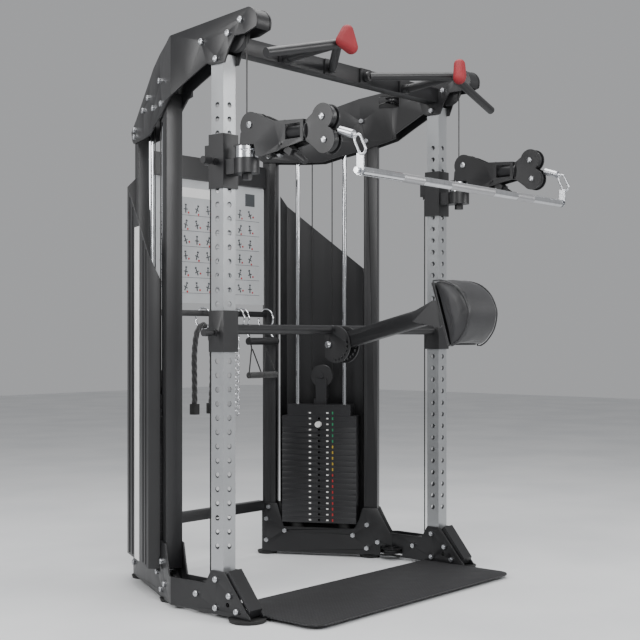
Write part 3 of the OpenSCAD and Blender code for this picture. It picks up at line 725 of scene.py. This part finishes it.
def split_node(node, body, materials):
    """Shows each solid of a node with its own finish; materials picks one from the solid's size."""
    for i, mesh in enumerate(islands(node)):
        spans = [max(v.co[a] for v in mesh.vertices) - min(v.co[a] for v in mesh.vertices) for a in range(3)]
        small = max(spans) < SMALL_SOLID
        name = materials[1] if small else materials[0]
        piece = link(f"{node}_solid_{i}", mesh, name, body, smooth=SHARP)
        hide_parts(node)
        if not small:
            bevel(piece)


def finish_nodes():
    for node, material in FINISH.items():
        finish_node(node, material)
    for name in SIDES:
        for node, material in SIDE_FINISH.items():
            finish_node(f"{node}_{name}", material)
        split_node(f"arm_{name}", f"arm_{name}", ("black", "zinc"))
        split_node(f"swivel_head_{name}", f"head_{name}", ("black", "zinc"))
    split_node("leg_carriage", "leg_carriage", ("black", "zinc"))


# ---- printed marks and trims ----

def make_stack_marks():
    """Coloured ticks by weight range and white dashes on the face of each plate."""
    for name, side in SIDES.items():
        turn = rear_matrix(side)
        resting, lifted = range(PLATES - LIFTED), range(PLATES - LIFTED, PLATES + 1)
        for body, indices in (("frame", resting), (f"lift_{name}", lifted)):
            marks = {colour: bmesh.new() for colour in ("green", "yellow", "red_mark", "white")}
            for i in indices:
                z = STACK_Z + (i + 0.5) * PLATE_PITCH
                from_top = PLATES - i
                colour = "green" if from_top <= 5 else "yellow" if from_top <= 10 else "red_mark"
                add_box(marks[colour], (-PLATE_HALF - PROUD, STACK_S - 0.066, z - 0.006),
                        (-PLATE_HALF + SUNK, STACK_S - 0.060, z + 0.006), turn)
                for s in (-0.044, 0.036):
                    add_box(marks["white"], (-PLATE_HALF - PROUD, STACK_S + s, z - 0.003),
                            (-PLATE_HALF + SUNK, STACK_S + s + 0.010, z + 0.003), turn)
            for colour, bm in marks.items():
                if bm.verts:
                    from_bmesh(bm, f"plate_marks_{colour}_{body}_{name}", colour, body, slot="iron")
                else:
                    bm.free()


def make_chart():
    """Generic exercise figures in rows, with a pale header, on the chart board."""
    low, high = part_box("chart_board")
    face, x0, z0, x1, z1 = low.y, low.x, low.z, high.x, high.z
    dark, red, white = bmesh.new(), bmesh.new(), bmesh.new()
    for row in range(6):
        z = z0 + 0.05 + row * 0.066
        for col in range(9):
            x = x0 + 0.05 + col * 0.065
            lean = ((row * 5 + col * 3) % 7 - 3) * 0.14
            turn = Matrix.Translation((x, face, z + 0.018)) @ Matrix.Rotation(lean, 4, "Y")
            add_box(dark, (-0.003, -PROUD, -0.016), (0.003, SUNK, 0.012), turn)
            add_box(dark, (-0.012, -PROUD, -0.002), (0.012, SUNK, 0.002), turn)
            add_box(dark, (-0.005, -PROUD, 0.014), (0.005, SUNK, 0.022), turn)
            add_box(red, (0.012, -PROUD, -0.018), (0.020, SUNK, -0.010), turn)
        add_box(dark, (x0 + 0.03, face - PROUD, z - 0.008), (x1 - 0.03, face + SUNK, z - 0.0065))
    add_box(white, (x0 + 0.05, face - PROUD, z1 - 0.075), (x1 - 0.2, face + SUNK, z1 - 0.035))
    add_box(dark, (x1 - 0.12, face - PROUD, z1 - 0.085), (x1 - 0.06, face + SUNK, z1 - 0.03))
    from_bmesh(dark, "chart_figures", "chart_dark", "frame", slot="chart")
    from_bmesh(red, "chart_dots", "red_mark", "frame", slot="chart")
    from_bmesh(white, "chart_header", "stripe", "frame", slot="chart")


def shroud_top(s):
    """Height of a tower panel's slanting top edge at s behind the bend."""
    return 1.296 + (s - 0.160) * 0.811


def make_shroud_trim():
    """Pressed ribs and a plain pale stripe on each tower's outer panel."""
    for name, side in SIDES.items():
        turn = rear_matrix(side)
        ribs, pale = bmesh.new(), bmesh.new()
        for s in (0.200, 0.245, 0.425, 0.480):
            top = shroud_top(s) - 0.012
            add_box(ribs, (0.0795, s - 0.004, 0.125), (0.0825, s + 0.004, top), turn, 0.0011)
        top = shroud_top(0.310) - 0.004
        add_box(pale, (0.0797, 0.310, 0.118), (0.0806, 0.390, top), turn)
        from_bmesh(ribs, f"shroud_ribs_{name}", "shroud", "frame", slot="shroud")
        from_bmesh(pale, f"shroud_stripe_{name}", "stripe", "frame", slot="chart")


# bolts of one side in millimetres: y and z at the upright, then s and z along the tower
UPRIGHT_BOLTS = [(0, 136), (-67, 86), (0, 36), (-103, 36), (99, 73), (-121, 2077), (0, 1960), (73, 2031),
                 (-60, 2040)]
TOWER_BOLTS = [(122, 148), (124, 44), (186, 99), (575, 215), (585, 161), (500, 110), (585, 65), (74, 73),
               (126, 1856), (420, 1880), (575, 1828), (575, 1800), (335, 1915), (249, 1860), (148, 1945)]
BOLT_FACE = 0.0439
DOME = ((0.0109, -0.0002), (0.0105, 0.0012), (0.0088, 0.0026), (0.0062, 0.0031))
SOCKET_R = 0.0042


def ring_of(bm, place, r, h, n):
    """A ring of n vertices with radius r, at height h over place."""
    turns = [a * 2 * math.pi / n for a in range(n)]
    return [bm.verts.new(place @ Vector((r * math.cos(a), r * math.sin(a), h))) for a in turns]


def make_bolt_heads():
    """Domed heads with a hexagon socket over every plain bolt head of the frame."""
    steel, socket = bmesh.new(), bmesh.new()
    for side in SIDES.values():
        mirror = Matrix.Scale(-1, 4, (1, 0, 0)) if side < 0 else Matrix.Identity(4)
        flat = mirror @ Matrix.Translation((UPRIGHT_X, 0, 0))
        for turn, group in ((flat, UPRIGHT_BOLTS), (rear_matrix(side), TOWER_BOLTS)):
            for y, z in group:
                at = Matrix.Translation((BOLT_FACE, y / 1000, z / 1000))
                place = turn @ at @ Matrix.Rotation(math.radians(90), 4, "Y")
                rings = [ring_of(steel, place, r, h, 24) for r, h in DOME]
                for p, q in zip(rings, rings[1:]):
                    for k in range(24):
                        face = (p[k], p[(k + 1) % 24], q[(k + 1) % 24], q[k])
                        steel.faces.new(face if side > 0 else tuple(reversed(face)))
                ring = ring_of(socket, place, *DOME[-1], 24)
                hexa = ring_of(socket, place, SOCKET_R, 0.0030, 6)
                deep = ring_of(socket, place, SOCKET_R, 0.0004, 6)
                for a in range(6):
                    b = (a + 1) % 6
                    socket.faces.new((hexa[a], hexa[b], deep[b], deep[a]))
                    for k in range(4):
                        socket.faces.new((ring[a * 4 + k], ring[(a * 4 + k + 1) % 24], hexa[a if k < 2 else b]))
                    socket.faces.new((ring[a * 4 + 2], hexa[b], hexa[a]))
                socket.faces.new(list(reversed(deep)))
    bmesh.ops.recalc_face_normals(socket, faces=socket.faces)
    from_bmesh(steel, "bolt_domes", "zinc", "frame", slot="bolts")
    from_bmesh(socket, "bolt_sockets", "zinc", "frame", smooth=math.radians(20), slot="bolts")


KNURL_R = 0.0152
KNURL_BANDS = ((-0.42, -0.30), (-0.14, 0.14), (0.30, 0.42))


def make_bar_knurl():
    """Matt knurled bands on the chrome bar."""
    low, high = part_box("straight_bar")
    y, z = (low[1] + high[1]) / 2, (low[2] + high[2]) / 2
    for i, (a, b) in enumerate(KNURL_BANDS):
        band = straight_run((a, y, z), (b, y, z), 2)
        tube(f"bar_knurl_{i}", band, KNURL_R, "knurl", "bar", 48, slot="chrome")


make_camera()
make_rope()
make_studio()
finish_nodes()
make_cables()
make_pad()
make_stack_marks()
make_chart()
make_shroud_trim()
make_bolt_heads()
make_bar_knurl()
